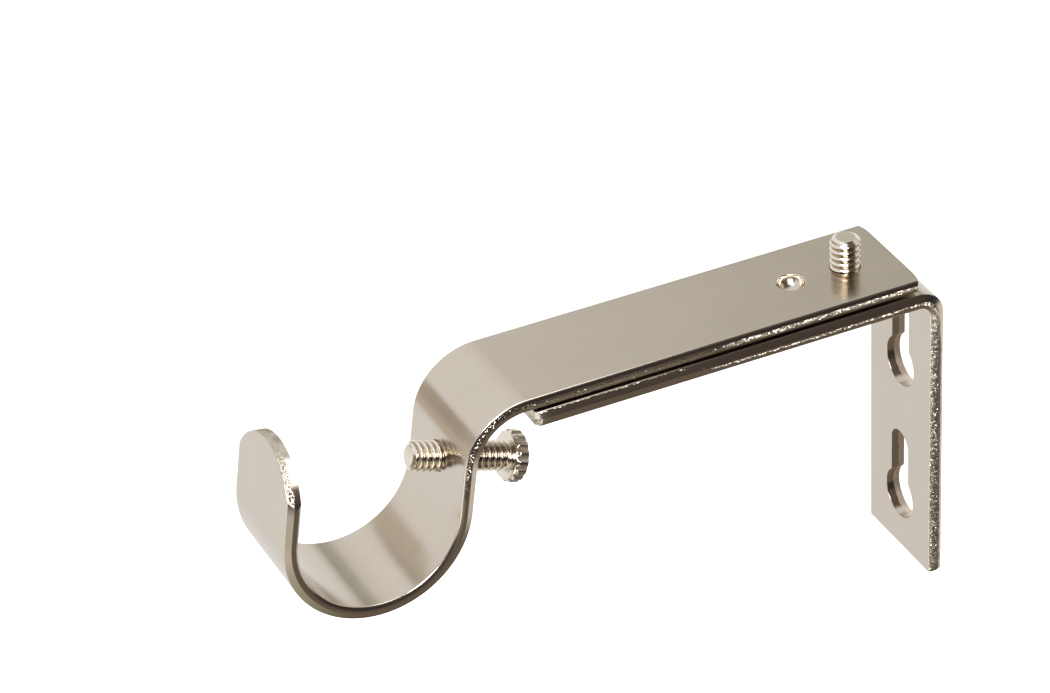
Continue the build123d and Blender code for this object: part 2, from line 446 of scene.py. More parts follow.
class Blank:
    """A flat strip in its own coordinates, s along it, y across it and t through it, ready to be bent."""

    def __init__(self, thickness):
        self.half = thickness / 2
        self.places = []
        self.normals = []
        self.shear = []
        self.torn = []
        self.faces = []

    def row(self, points, levels, normals, shear, torn=not_torn):
        """Adds a row of points and returns their numbers."""
        first = len(self.places)
        self.torn.extend(np.broadcast_to(torn, (len(points), 3)))
        self.places.extend((s, y, t) for (s, y), t in zip(points, np.broadcast_to(levels, len(points))))
        self.normals.extend(tuple(normal) for normal in normals)
        self.shear.extend([shear] * len(points))
        return list(range(first, first + len(points)))

    def join(self, rows):
        """Joins closed rows of equal length, from the upper one to the lower one."""
        for upper, lower in zip(rows, rows[1:]):
            for k, number in enumerate(upper):
                after = (k + 1) % len(upper)
                self.faces.append((number, lower[k], lower[after], upper[after]))

    def hole_rim(self, loop, radius, upper, slant):
        """The rows of a hole's rounded rim, from the face to the wall."""
        points, left = loop
        facing = 1.0 if upper else -1.0
        rows = []
        for angle in np.linspace(0.0, math.pi / 2, round_rows):
            level = facing * (self.half - radius * (1 - math.cos(angle)))
            drift = np.array([(self.half - level) * slant, 0.0])
            moved = points + left * radius * (1 - math.sin(angle)) + drift
            upward = np.full(len(left), facing * math.cos(angle))
            normals = np.column_stack([-left * math.sin(angle), upward])
            rows.append(self.row(moved, level, normals, math.sin(angle), punched))
        return rows

    def hole(self, loop, upper_round, lower_round, slant=0.0):
        """A hole with rounded rims; slant moves it along the strip with depth."""
        upper = self.hole_rim(loop, upper_round, True, slant)
        lower = self.hole_rim(loop, lower_round, False, slant)
        self.join(upper + lower[::-1])
        return upper[0], lower[0]

    def outline(self, outline_at, tearing, slanted_above):
        """The outer wall: long sides that slant to one face and round off to the other, and crisp ends."""
        quarter = np.linspace(0.0, math.pi / 2, round_rows)
        places, *zones = zip(*tearing)
        borders = []
        walls = []
        for above in (True, False):
            facing = 1.0 if above else -1.0
            slanted = above == slanted_above
            reach = edge_slant_depth if slanted else 2 * self.half - edge_slant_depth
            deeper = np.linspace(cut_round, ridge_share * reach, wall_rows)[1:]
            rows = []
            for depth in np.concatenate([cut_round * (1 - np.cos(quarter)), deeper]):
                if slanted:
                    inset, outward, upward = slanting(depth, edge_slant_inset, edge_slant_depth, cut_round)
                else:
                    inset, outward, upward = rounding(depth, edge_round_inset, edge_round_depth)
                cut_inset, cut_outward, cut_upward = rounding(depth, cut_round, cut_round)
                points, left, fresh = outline_at(inset, cut_inset)
                across = outward + (cut_outward - outward) * fresh
                through = facing * (upward + (cut_upward - upward) * fresh)
                normals = np.column_stack([-left * across[:, None], through])
                normals = normals / np.linalg.norm(normals, axis=1, keepdims=True)
                slit = np.column_stack([np.interp(points[:, 0], places, zone) for zone in zones])
                torn = np.where(fresh[:, None] > 0, cut_end_tearing, slit)
                level = facing * (self.half - depth)
                rows.append(self.row(points, level, normals, min(1.0, depth / shear_depth), torn))
            borders.append(rows[0])
            walls.append(rows)
        self.join(walls[0] + walls[1][::-1])
        return borders

    def turned(self, centre, radii, levels, upward):
        """A dimple or a boss turned about a centre, from its rim row to its middle point."""
        slopes = np.gradient(np.array(levels), np.array(radii))
        slopes[0] = 0.0
        bearings = -np.arange(0.0, 2 * math.pi, loop_step / radii[0])
        spokes = np.stack([np.cos(bearings), np.sin(bearings)], axis=-1)
        facing = 1.0 if upward else -1.0
        rows = []
        for radius, level, slope in zip(radii[:-1], levels[:-1], slopes[:-1]):
            length = math.hypot(1.0, slope)
            normals = np.column_stack([-spokes * slope, np.ones(len(spokes))]) * facing / length
            rows.append(self.row(centre + spokes * radius, level, normals, 0.0))
        middle = self.row([centre], levels[-1], [(0.0, 0.0, facing)], 0.0)[0]
        self.join(rows if upward else rows[::-1])
        for k, number in enumerate(rows[-1]):
            after = rows[-1][(k + 1) % len(spokes)]
            self.faces.append((number, middle, after) if upward else (middle, number, after))
        return rows[0]

    def face(self, border_rows, stations, upper):
        """Fills a face between its outer border and its holes, with inner points where the strip bends."""
        numbers = [number for row in border_rows for number in row]
        border = np.array([self.places[number][:2] for number in numbers])
        edges = []
        first = 0
        for row in border_rows:
            edges.extend((first + k, first + (k + 1) % len(row)) for k in range(len(row)))
            first += len(row)
        columns = np.linspace(-0.5, 0.5, column_count + 2)[1:-1] * strip_width
        inner = np.stack(np.meshgrid(stations, columns, indexing="ij"), axis=-1).reshape(-1, 2)
        distances = np.linalg.norm(inner[:, None] - border[None], axis=-1).min(axis=1)
        inner = inner[(distances > loop_step) & inside(inner, border, edges)]
        facing = 1.0 if upper else -1.0
        flat = np.tile([0.0, 0.0, facing], (len(inner), 1))
        numbers = numbers + self.row(inner, self.half * facing, flat, 0.0)
        corners = [Vector(point) for point in np.concatenate([border, inner])]
        points, _, triangles, sources, _, _ = delaunay_2d_cdt(corners, edges, [], within_outline, tiny)
        middles = np.array([tuple(point) for point in points])[np.array(triangles)].mean(axis=1)
        empty = inside(middles, border, edges[len(border_rows[0]):])
        for triangle, in_hole in zip(triangles, empty):
            if not in_hole:
                corner = [numbers[sources[k][0]] for k in triangle]
                self.faces.append(tuple(corner if upper else corner[::-1]))

    def bent(self, name, start, heading, runs):
        """Bends the blank along a chain of runs in the XZ plane and returns it as a mesh in metres."""
        places = np.array(self.places)
        normals = np.array(self.normals)
        points, angles = along(start, heading, runs, places[:, 0])
        forward, raised = heading_vectors(angles)
        middle = points + raised * places[:, 2:]
        bent_places = np.stack([middle[:, 0], places[:, 1], middle[:, 1]], axis=-1) * mm
        turned = forward * normals[:, :1] + raised * normals[:, 2:]
        bent_normals = np.stack([turned[:, 0], normals[:, 1], turned[:, 1]], axis=-1)
        mesh = bpy.data.meshes.new(name)
        mesh.from_pydata(bent_places.tolist(), [], self.faces)
        mesh.polygons.foreach_set("use_smooth", [True] * len(mesh.polygons))
        mesh.attributes.new("shear", "FLOAT", "POINT").data.foreach_set("value", self.shear)
        torn = mesh.attributes.new("torn", "FLOAT_VECTOR", "POINT")
        torn.data.foreach_set("vector", (np.array(self.torn) * (mm, mm, 1.0)).ravel())
        unbent = mesh.attributes.new("unbent", "FLOAT_VECTOR", "POINT")
        unbent.data.foreach_set("vector", (places * mm).ravel())
        mesh.normals_split_custom_set_from_vertices(bent_normals.tolist())
        mesh.update()
        return mesh


def inside(points, border, edges):
    """True for each point that an odd number of border edges lies beside."""
    starts = border[[edge[0] for edge in edges]]
    ends = border[[edge[1] for edge in edges]]
    s, y = points[:, :1], points[:, 1:]
    spans = (starts[:, 1] > y) != (ends[:, 1] > y)
    rise = np.where(starts[:, 1] == ends[:, 1], 1.0, ends[:, 1] - starts[:, 1])
    crossing = starts[:, 0] + (y - starts[:, 1]) * (ends[:, 0] - starts[:, 0]) / rise
    return (spans & (s < crossing)).sum(axis=1) % 2 == 1


def wall_strip_mesh():
    """The L, from the foot of its upright leg over the fold to the end of its plate."""
    fold_r = fold_inner_r + plate_thickness / 2
    leg_bottom_z = plate_low[2]
    leg = plate_high[2] - plate_thickness - fold_inner_r - leg_bottom_z
    plate = plate_high[0] - plate_thickness - fold_inner_r
    runs = [(leg, 0.0), (fold_r, -90.0), (plate, 0.0)]
    plate_start = leg + run_length(fold_r, 90.0) - plate_thickness - fold_inner_r
    stations = bend_stations(runs)
    blank = Blank(plate_thickness)
    length = stations[-1]
    side_end = length - plate_corner_trim - trim_side_clear
    sides = stations[(stations > leg_side_clear) & (stations < side_end)]

    def outline_at(inset, cut_inset):
        return strip_outline(sides, length, square_end, trimmed_end, inset, cut_inset)

    borders = [blank.outline(outline_at, wall_strip_tearing, True)]
    for round_end_z in (-keyhole_pitch / 2, keyhole_pitch / 2):
        hole = keyhole(round_end_z - leg_bottom_z)
        borders.append(blank.hole(hole, hole_round, keyhole_front_round))
    slot = slotted_hole(plate_start + slot_start_x, plate_start + slot_end_x, slot_r)
    borders.append(blank.hole(slot, hole_round, hole_round))
    blank.face([upper for upper, lower in borders], stations, True)
    blank.face([lower for upper, lower in borders], stations, False)
    return blank.bent("wall_strip", (plate_thickness / 2, leg_bottom_z), 90.0, runs)


def hook_runs():
    """The runs of the hook strip's middle line: arm, shoulder, back, cup and lip."""
    shoulder_r = shoulder_outer_r - arm_thickness / 2
    return [
        (shoulder_x - arm_low[0], 0.0),
        (shoulder_r, hook_lean - 90.0),
        (back_length, 0.0),
        (cup_r + arm_thickness / 2, 180.0),
        (lip_length, 0.0),
    ]


def hook_start():
    """Where the hook strip's middle line starts, at the arm's rear end."""
    return arm_low[0], arm_top_z - arm_thickness / 2


def rod_hole_station():
    """How far along the hook strip the rod screw's hole lies."""
    arm, shoulder = hook_runs()[:2]
    return run_length(*arm) + run_length(*shoulder) + rod_hole_drop


def guide_dimple(blank, guide):
    """The dimple pressed into the top of the arm: a rounded rim and a bowl."""
    radii = []
    levels = []
    for angle in np.linspace(0.0, dimple_rim_sweep, round_rows):
        radii.append(dimple_r + dimple_rim_round * (1 - math.sin(angle)))
        levels.append(blank.half - dimple_rim_round * (1 - math.cos(angle)))
    bowl_r = radii[-1]
    rim_level = levels[-1]
    bowl_depth = dimple_depth - blank.half + rim_level
    for angle in np.linspace(0.0, math.pi / 2, bowl_rows)[1:]:
        radii.append(bowl_r * math.cos(angle))
        levels.append(rim_level - bowl_depth * math.sin(angle))
    return blank.turned(guide, radii, levels, True)


def guide_pip(blank, guide):
    """The pip pushed out below the dimple, which runs in the wall strip's slot."""
    radii = []
    levels = []
    for angle in np.linspace(0.0, pip_round_sweep, round_rows):
        radii.append(pip_r + hole_round * (1 - math.sin(angle)))
        levels.append(-blank.half - hole_round * (1 - math.cos(angle)))
    for angle in np.linspace(pip_round_sweep, 0.0, round_rows):
        radii.append(pip_r - pip_round * (1 - math.sin(angle)) - pip_draft)
        levels.append(-blank.half - pip_drop + pip_round * (1 - math.cos(angle)))
    radii.append(0.0)
    levels.append(-blank.half - pip_drop)
    return blank.turned(guide, radii, levels, False)


def hook_strip_mesh():
    """The hook strip, with its guide dimple, its pip below that and its two tapped holes."""
    runs = hook_runs()
    stations = bend_stations(runs)
    blank = Blank(arm_thickness)
    length = stations[-1]
    side_end = length - lip_end_r + lip_side_reach
    sides = stations[(stations > rear_side_clear) & (stations < side_end)]

    def outline_at(inset, cut_inset):
        return strip_outline(sides, length, eased_end, lip_end, inset, cut_inset)

    borders = [blank.outline(outline_at, hook_strip_tearing, False)]
    borders.append(blank.hole(round_hole(adjusting_inset, tapped_r), tapped_round, hole_round))
    slant = math.tan(math.radians(rod_tilt))
    rod_hole = round_hole(rod_hole_station(), tapped_r)
    borders.append(blank.hole(rod_hole, tapped_round, hole_round, slant))
    guide = np.array([adjusting_inset + guide_spacing, 0.0])
    dimple_row = guide_dimple(blank, guide)
    pip_row = guide_pip(blank, guide)
    blank.face([upper for upper, lower in borders] + [dimple_row], stations, True)
    blank.face([lower for upper, lower in borders] + [pip_row], stations, False)
    return blank.bent("hook_strip", hook_start(), 0.0, runs)


def set_node(tree, kind, **settings):
    """A new node with its settings."""
    node = tree.nodes.new(kind)
    for name, value in settings.items():
        setattr(node, name, value)
    return node


def feed(tree, socket, value):
    """Links an output to a socket, or sets the socket to a plain value."""
    if isinstance(value, bpy.types.NodeSocket):
        tree.links.new(value, socket)
    else:
        socket.default_value = value


def math_step(tree, operation, *values):
    """One step of arithmetic on sockets and numbers."""
    node = set_node(tree, "ShaderNodeMath", operation=operation)
    for socket, value in zip(node.inputs, values):
        feed(tree, socket, value)
    return node.outputs[0]


def ramp_step(tree, value, low, high, to_low=0.0, to_high=1.0, form="SMOOTHSTEP"):
    """A step from to_low at low to to_high at high, smooth unless its form says otherwise."""
    node = set_node(tree, "ShaderNodeMapRange", interpolation_type=form)
    sockets = ("Value", "From Min", "From Max", "To Min", "To Max")
    for name, given in zip(sockets, (value, low, high, to_low, to_high)):
        feed(tree, node.inputs[name], given)
    return node.outputs["Result"]


def thread_cut(tree, given, height, turn, radius):
    """How deep the thread's groove cuts: it climbs one pitch each turn and runs out towards the head."""
    climbed = math_step(tree, "SUBTRACT", math_step(tree, "DIVIDE", height, given["Pitch"]), turn)
    past_crest = math_step(tree, "SUBTRACT", math_step(tree, "FRACT", climbed), 0.5)
    beside_crest = math_step(tree, "ABSOLUTE", past_crest)
    groove = ramp_step(tree, beside_crest, thread_crest_share, thread_root_share, form="LINEAR")
    started = ramp_step(tree, height, 0.0, given["Run Out"])
    dip = math_step(tree, "MULTIPLY", math_step(tree, "MULTIPLY", groove, started), given["Thread Depth"])
    left_r = math_step(tree, "SUBTRACT", given["Thread Radius"], dip)
    above = math_step(tree, "MAXIMUM", math_step(tree, "SUBTRACT", radius, left_r), 0.0)
    return math_step(tree, "MULTIPLY", above, math_step(tree, "GREATER_THAN", height, tiny))


def flute_cut(tree, given, turn, radius):
    """How deep the flutes cut: they are round grooves along the head, spaced evenly about its rim."""
    flutes_on = math_step(tree, "ADD", math_step(tree, "MULTIPLY", turn, given["Flute Count"]), 0.5)
    share = math_step(tree, "SUBTRACT", math_step(tree, "FRACT", flutes_on), 0.5)
    rim = math_step(tree, "MULTIPLY", given["Head Radius"], 2 * math.pi)
    beside = math_step(tree, "MULTIPLY", share, math_step(tree, "DIVIDE", rim, given["Flute Count"]))
    flute_square = math_step(tree, "MULTIPLY", given["Flute Radius"], given["Flute Radius"])
    square = math_step(tree, "SUBTRACT", flute_square, math_step(tree, "MULTIPLY", beside, beside))
    reach = math_step(tree, "SQRT", math_step(tree, "MAXIMUM", square, 0.0))
    shallow = math_step(tree, "SUBTRACT", given["Flute Radius"], given["Flute Depth"])
    cut = math_step(tree, "MAXIMUM", math_step(tree, "SUBTRACT", reach, shallow), 0.0)
    left_r = math_step(tree, "SUBTRACT", given["Head Radius"], cut)
    return math_step(tree, "MAXIMUM", math_step(tree, "SUBTRACT", radius, left_r), 0.0)


def screw_forming_tree():
    """Geometry nodes that roll a thread into a turned blank's shank and cut flutes round its head."""
    tree = bpy.data.node_groups.new("thread_and_flutes", "GeometryNodeTree")
    tree.interface.new_socket("Blank", in_out="INPUT", socket_type="NodeSocketGeometry")
    sizes = (
        "Pitch", "Thread Radius", "Thread Depth", "Run Out",
        "Head Radius", "Flute Count", "Flute Radius", "Flute Depth",
    )
    for name in sizes:
        tree.interface.new_socket(name, in_out="INPUT", socket_type="NodeSocketFloat")
    tree.interface.new_socket("Finish", in_out="INPUT", socket_type="NodeSocketMaterial")
    tree.interface.new_socket("Screw", in_out="OUTPUT", socket_type="NodeSocketGeometry")
    given = set_node(tree, "NodeGroupInput").outputs
    place = set_node(tree, "ShaderNodeSeparateXYZ")
    tree.links.new(set_node(tree, "GeometryNodeInputPosition").outputs[0], place.inputs[0])
    x, y, z = place.outputs
    bearing = math_step(tree, "ARCTAN2", y, x)
    turn = math_step(tree, "DIVIDE", bearing, 2 * math.pi)
    radius = math_step(tree, "SQRT", math_step(tree, "ADD", math_step(tree, "MULTIPLY", x, x),
                                               math_step(tree, "MULTIPLY", y, y)))
    rolled = thread_cut(tree, given, z, turn, radius)
    fluted = flute_cut(tree, given, turn, radius)
    # Both move the surface straight in towards the axis
    inward = math_step(tree, "MULTIPLY", math_step(tree, "ADD", rolled, fluted), -1.0)
    share_in = math_step(tree, "DIVIDE", inward, math_step(tree, "MAXIMUM", radius, tiny))
    offset = set_node(tree, "ShaderNodeCombineXYZ")
    tree.links.new(math_step(tree, "MULTIPLY", x, share_in), offset.inputs[0])
    tree.links.new(math_step(tree, "MULTIPLY", y, share_in), offset.inputs[1])
    geometry = given["Blank"]
    for name, cut_in, depth in (("hollow", rolled, "Thread Depth"), ("fluted", fluted, "Flute Depth")):
        marked = set_node(tree, "GeometryNodeStoreNamedAttribute", data_type="FLOAT", domain="POINT")
        tree.links.new(geometry, marked.inputs["Geometry"])
        marked.inputs["Name"].default_value = name
        tree.links.new(math_step(tree, "DIVIDE", cut_in, given[depth]), marked.inputs["Value"])
        geometry = marked.outputs["Geometry"]
    formed = set_node(tree, "GeometryNodeSetPosition")
    tree.links.new(geometry, formed.inputs["Geometry"])
    tree.links.new(offset.outputs[0], formed.inputs["Offset"])
    smooth = set_node(tree, "GeometryNodeSetShadeSmooth")
    tree.links.new(formed.outputs[0], smooth.inputs["Geometry"])
    real = set_node(tree, "GeometryNodeRealizeInstances")
    tree.links.new(smooth.outputs[0], real.inputs[0])
    finish = set_node(tree, "GeometryNodeSetMaterial")
    tree.links.new(real.outputs[0], finish.inputs["Geometry"])
    tree.links.new(given["Finish"], finish.inputs["Material"])
    tree.links.new(finish.outputs[0], set_node(tree, "NodeGroupOutput").inputs[0])
    return tree


def screw_profile(length):
    """Radius and height of the turned blank, from the middle of the head's end to the middle of the tip."""
    ease = profile_ease
    stations = [(share * head_r, -head_thickness) for share in head_rings]
    stations.append((head_r - flute_depth - ease, -head_thickness))
    for angle in np.linspace(0.0, math.pi / 2, round_rows):
        rise = head_round * (1 - math.cos(angle))
        stations.append((head_r - head_round + head_round * math.sin(angle), -head_thickness + rise))
    rim_rows = np.linspace(-head_thickness + head_round, -head_bevel, wall_rows)
    stations.extend((head_r, height) for height in rim_rows[1:])
    for share in np.linspace(0.0, 1.0, bevel_rows)[1:]:
        stations.append((head_r - head_bevel * share, -head_bevel * (1 - share**head_bevel_curve)))
    stations.append((head_r - head_bevel - ease, 0.0))
    stations.append((bearing_ring * head_r, 0.0))
    stations.append((thread_r + 2 * ease, 0.0))
    stations.append((thread_r + 0.5 * ease, 0.5 * ease))
    straight = length - tip_chamfer
    count = math.ceil((straight - 2 * ease) / thread_step)
    stations.extend((thread_r, 2 * ease + (straight - 2 * ease) * k / count) for k in range(count + 1))
    for share in np.linspace(0.0, chamfer_reach, bevel_rows)[1:]:
        stations.append((thread_r - (thread_r - tip_r) * share, straight + tip_chamfer * share))
    stations.append((tip_r - 0.5 * ease, length))
    stations.append((tip_r - 2 * ease, length))
    stations.append((tip_ring * tip_r, length))
    stations.append((0.0, length))
    return np.array(stations) * mm


def turned_blank(name, stations):
    """A mesh turned about Z from radius and height stations that start and end on the axis."""
    bearings = 2 * math.pi * np.arange(turn_steps) / turn_steps
    spokes = np.stack([np.cos(bearings), np.sin(bearings)], axis=-1)
    places = [(0.0, 0.0, stations[0, 1])]
    for radius, height in stations[1:-1]:
        places.extend((x * radius, y * radius, height) for x, y in spokes)
    places.append((0.0, 0.0, stations[-1, 1]))
    rows = [[1 + row * turn_steps + k for k in range(turn_steps)] for row in range(len(stations) - 2)]
    faces = []
    for k in range(turn_steps):
        after = (k + 1) % turn_steps
        faces.append((0, rows[0][after], rows[0][k]))
        faces.extend((low[k], low[after], high[after], high[k]) for low, high in zip(rows, rows[1:]))
        faces.append((len(places) - 1, rows[-1][k], rows[-1][after]))
    mesh = bpy.data.meshes.new(name)
    mesh.from_pydata(places, [], faces)
    mesh.update()
    return mesh


def thumb_screw_mesh(name, length, seat, axis, tree, finish):
    """A finished thumb screw at its seat, the plane of its head's bearing face."""
    blank = bpy.data.objects.new(name + "_blank", turned_blank(name + "_blank", screw_profile(length)))
    bpy.context.scene.collection.objects.link(blank)
    modifier = blank.modifiers.new("thread_and_flutes", "NODES")
    modifier.node_group = tree
    sizes = {
        "Pitch": thread_pitch * mm,
        "Thread Depth": thread_depth * mm,
        "Thread Radius": thread_r * mm,
        "Run Out": thread_run_out * mm,
        "Head Radius": head_r * mm,
        "Flute Count": float(flute_count),
        "Flute Radius": flute_r * mm,
        "Flute Depth": flute_depth * mm,
        "Finish": finish,
    }
    for socket in tree.interface.items_tree:
        if socket.name in sizes:
            modifier[socket.identifier] = sizes[socket.name]
    mesh = bpy.data.meshes.new_from_object(blank.evaluated_get(bpy.context.evaluated_depsgraph_get()))
    blank.modifiers.remove(modifier)
    bpy.data.objects.remove(blank)
    mesh.name = name
    upright = Vector((0.0, 1.0, 0.0))
    across = upright.cross(axis)
    turned = Matrix((upright, -across, axis)).transposed().to_4x4()
    mesh.transform(Matrix.Translation(seat) @ turned)
    mesh.update()
    return mesh


def adjusting_screw_mesh(tree, finish):
    """The thumb screw from below, whose head clamps the arm to the wall strip's plate."""
    low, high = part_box("adjusting_screw")
    seat_z = plate_high[2] - plate_thickness - head_clearance
    seat = Vector(((low.x + high.x) / 2, 0.0, seat_z * mm))
    length = high.z / mm - seat_z
    return thumb_screw_mesh("adjusting_thumb_screw", length, seat, Vector((0.0, 0.0, 1.0)), tree, finish)


def rod_screw_mesh(tree, finish):
    """The thumb screw through the back of the hook, which holds the pole in the cup."""
    middle, angle = along(hook_start(), 0.0, hook_runs(), np.array([rod_hole_station()]))
    forward, raised = heading_vectors(angle)
    mouth = middle[0] + raised[0] * arm_thickness / 2
    tilt = math.radians(rod_tilt)
    axis = raised[0] * math.cos(tilt) - forward[0] * math.sin(tilt)
    seat = (mouth + axis * (rod_reach - rod_length)) * mm
    return thumb_screw_mesh("rod_thumb_screw", rod_length, Vector((seat[0], 0.0, seat[1])),
                            Vector((axis[0], 0.0, axis[1])), tree, finish)


def plating_grain_group():
    """Fine grain and slow unevenness of a plated face, as a height and a spread about zero."""
    group = bpy.data.node_groups.new("plating_grain", "ShaderNodeTree")
    group.interface.new_socket("Place", in_out="INPUT", socket_type="NodeSocketVector")
    group.interface.new_socket("Grain Scale", in_out="INPUT", socket_type="NodeSocketFloat")
    group.interface.new_socket("Drift Scale", in_out="INPUT", socket_type="NodeSocketFloat")
    group.interface.new_socket("Height", in_out="OUTPUT", socket_type="NodeSocketFloat")
    group.interface.new_socket("Spread", in_out="OUTPUT", socket_type="NodeSocketFloat")
    given = set_node(group, "NodeGroupInput").outputs
    put_out = set_node(group, "NodeGroupOutput").inputs
    grain = set_node(group, "ShaderNodeTexNoise")
    drift = set_node(group, "ShaderNodeTexNoise")
    for noise, scale, detail in (
        (grain, "Grain Scale", grain_detail),
        (drift, "Drift Scale", drift_detail),
    ):
        group.links.new(given["Place"], noise.inputs["Vector"])
        group.links.new(given[scale], noise.inputs["Scale"])
        noise.inputs["Detail"].default_value = detail
    fine = grain.outputs["Fac"]
    slow = drift.outputs["Fac"]
    height = math_step(group, "ADD", math_step(group, "MULTIPLY", fine, grain_height), slow)
    group.links.new(height, put_out["Height"])
    spread = math_step(group, "SUBTRACT", math_step(group, "ADD", fine, slow), 1.0)
    group.links.new(spread, put_out["Spread"])
    return group


def new_material(name, plain):
    """A node material and its shader, with the shader's plain sockets set."""
    material = bpy.data.materials.new(name)
    material.use_nodes = True
    tree = material.node_tree
    shader = tree.nodes["Principled BSDF"]
    for socket, value in plain.items():
        shader.inputs[socket].default_value = value
    return material, tree, shader


def mesh_mark(tree, name, output):
    """A value that a piece's mesh carries at its points."""
    return set_node(tree, "ShaderNodeAttribute", attribute_name=name).outputs[output]


def place_plating(tree, grain_group, place, grain_scale, drift_scale):
    """The plating's grain, placed in a material."""
    plating = set_node(tree, "ShaderNodeGroup", node_tree=grain_group)
    tree.links.new(place, plating.inputs["Place"])
    plating.inputs["Grain Scale"].default_value = grain_scale
    plating.inputs["Drift Scale"].default_value = drift_scale
    return plating.outputs


def plating_relief(tree, plating, strength):
    """The normal of a plated face, with the fine relief of its grain."""
    relief = set_node(tree, "ShaderNodeBump")
    relief.inputs["Strength"].default_value = strength
    relief.inputs["Distance"].default_value = relief_depth * mm
    tree.links.new(plating["Height"], relief.inputs["Height"])
    return relief.outputs[0]


def mix_colour(tree, share, first, second):
    """A colour between two others."""
    node = set_node(tree, "ShaderNodeMix", data_type="RGBA")
    feed(tree, node.inputs[0], share)
    feed(tree, node.inputs[6], first)
    feed(tree, node.inputs[7], second)
    return node.outputs[2]


def wavering_level(tree, unbent):
    """The level through a strip's thickness, unsteady enough to leave ragged edges between zones."""
    place = set_node(tree, "ShaderNodeSeparateXYZ")
    tree.links.new(unbent, place.inputs[0])
    wander = set_node(tree, "ShaderNodeTexNoise")
    tree.links.new(unbent, wander.inputs["Vector"])
    wander.inputs["Scale"].default_value = wander_scale
    wander.inputs["Detail"].default_value = wander_detail
    swing = math_step(tree, "SUBTRACT", wander.outputs["Fac"], 0.5)
    return math_step(tree, "ADD", place.outputs[2], math_step(tree, "MULTIPLY", swing, wander_width * mm))


def torn_facets(tree, unbent, torn):
    """The small facets of torn metal, which lean every way, most of them a little up and out."""
    facets = set_node(tree, "ShaderNodeTexVoronoi")
    tree.links.new(unbent, facets.inputs["Vector"])
    facets.inputs["Scale"].default_value = facet_scale
    lean = set_node(tree, "ShaderNodeVectorMath", operation="SUBTRACT")
    tree.links.new(facets.outputs["Color"], lean.inputs[0])
    lean.inputs[1].default_value = facet_middle
    leant = set_node(tree, "ShaderNodeVectorMath", operation="SCALE")
    tree.links.new(lean.outputs[0], leant.inputs[0])
    tree.links.new(torn, leant.inputs["Scale"])
    return leant.outputs[0]


def satin_nickel(grain_group):
    """Satin nickel plate: even on the faces, torn on the slit sides and broken in the punched holes."""
    material, tree, shader = new_material("satin_nickel", {"Metallic": 1.0})
    unbent = mesh_mark(tree, "unbent", "Vector")
    drawn = set_node(tree, "ShaderNodeMapping")
    drawn.inputs["Scale"].default_value = drawn_out
    tree.links.new(unbent, drawn.inputs["Vector"])
    plating = place_plating(tree, grain_group, drawn.outputs[0], grain_scale=9000.0, drift_scale=350.0)
    # Torn zone of a slit side, between its top and its foot
    level = wavering_level(tree, unbent)
    zone = set_node(tree, "ShaderNodeSeparateXYZ")
    tree.links.new(mesh_mark(tree, "torn", "Vector"), zone.inputs[0])
    top, foot, tearing = zone.outputs
    wall = ramp_step(tree, mesh_mark(tree, "shear", "Fac"), *wall_onset)
    blur = zone_blur * mm
    below_top = ramp_step(tree, math_step(tree, "SUBTRACT", level, top), blur, -blur)
    above_foot = ramp_step(tree, math_step(tree, "SUBTRACT", level, foot), -blur, blur)
    torn_wall = math_step(tree, "MULTIPLY", wall, ramp_step(tree, tearing, *tear_onset))
    between = math_step(tree, "MULTIPLY", math_step(tree, "MULTIPLY", below_top, above_foot), torn_wall)
    torn = math_step(tree, "MULTIPLY", between, math_step(tree, "MAXIMUM", tearing, 0.0))
    # A tear of middling strength is darker and satin, the stronger and weaker ones glint
    satin = math_step(tree, "SUBTRACT", ramp_step(tree, tearing, *satin_tear_onset),
                      ramp_step(tree, tearing, *glinting_tear_onset))
    # Punched walls are smooth at first, then dull and paler where the slug broke out
    punched_wall = math_step(tree, "MULTIPLY", wall, ramp_step(tree, tearing, *punched_onset))
    past_break = ramp_step(tree, level, *(height * mm for height in break_levels))
    broken = math_step(tree, "MULTIPLY", punched_wall, past_break)
    # Colour, gloss and relief
    shade = ramp_step(tree, plating["Spread"], *shade_spread)
    face_colour = mix_colour(tree, shade, *satin_shades)
    torn_shade = mix_colour(tree, satin, glinting_tear_colour, satin_tear_colour)
    torn_colour = mix_colour(tree, between, face_colour, torn_shade)
    colour = mix_colour(tree, broken, torn_colour, broken_wall_colour)
    tree.links.new(colour, shader.inputs["Base Color"])
    face_gloss = math_step(tree, "MULTIPLY_ADD", plating["Spread"], gloss_spread, satin_roughness)
    dulled = math_step(tree, "MULTIPLY_ADD", broken, broken_wall_dulling, face_gloss)
    torn_gloss = math_step(tree, "MULTIPLY_ADD", satin, satin_tear_dulling, glinting_tear_dulling)
    gloss = math_step(tree, "ADD", dulled, math_step(tree, "MULTIPLY", between, torn_gloss))
    tree.links.new(gloss, shader.inputs["Roughness"])
    faceted = set_node(tree, "ShaderNodeVectorMath", operation="ADD")
    tree.links.new(plating_relief(tree, plating, strength=0.04), faceted.inputs[0])
    tree.links.new(torn_facets(tree, unbent, torn), faceted.inputs[1])
    facing = set_node(tree, "ShaderNodeVectorMath", operation="NORMALIZE")
    tree.links.new(faceted.outputs[0], facing.inputs[0])
    tree.links.new(facing.outputs[0], shader.inputs["Normal"])
    return material


